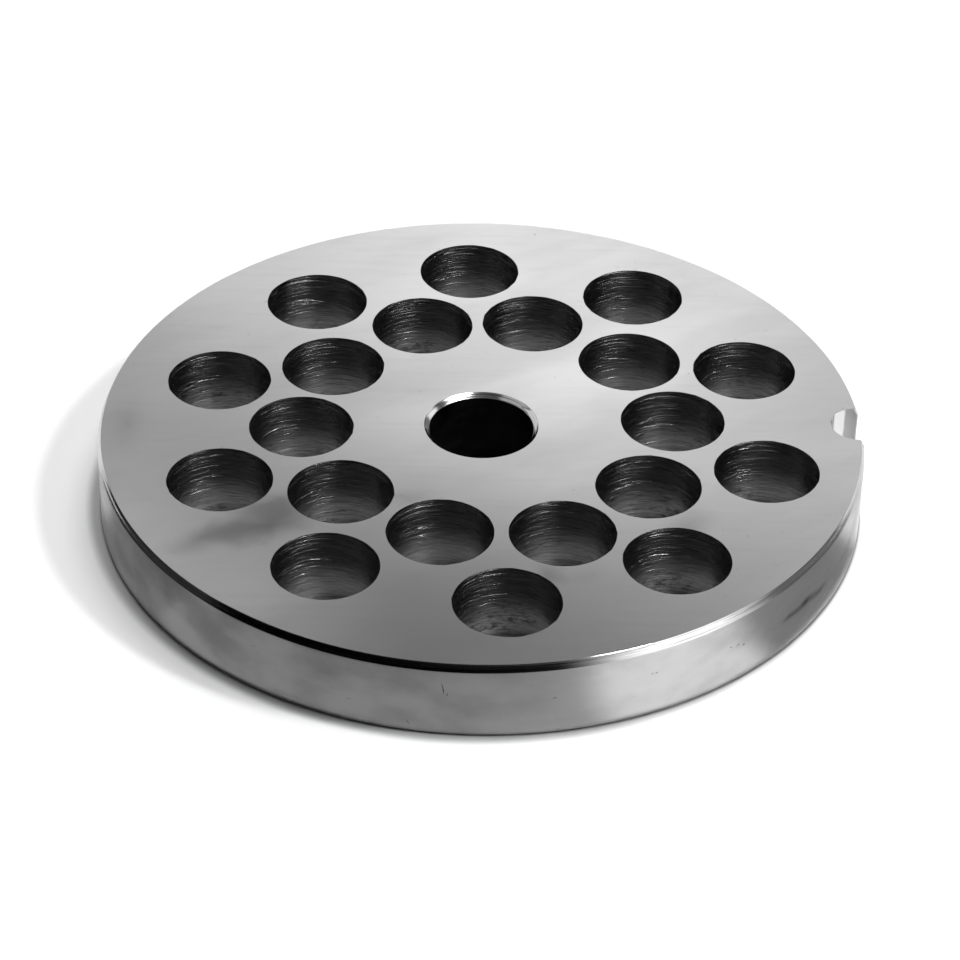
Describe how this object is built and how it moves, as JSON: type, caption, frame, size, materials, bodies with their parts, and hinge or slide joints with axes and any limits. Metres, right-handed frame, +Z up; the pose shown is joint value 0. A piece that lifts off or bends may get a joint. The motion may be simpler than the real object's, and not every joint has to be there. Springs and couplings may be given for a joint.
{
  "type": "meat grinder plate",
  "caption": "Round steel grinder plate with staggered rows of meat holes, a centre bore, a bevelled rim and a key notch.",
  "frame": {"origin": "on the centre bore's axis at the underside of the plate", "axes": "+Z up along the bore's axis through the cutting face, +X from the bore towards the key notch"},
  "size_m": [0.0699, 0.07, 0.0075],
  "materials": {
    "plate_steel": "lapped faces, turned rim"
  },
  "bodies": {
    "root": {"grinder_plate": "plate_steel"}
  },
  "joints": []
}
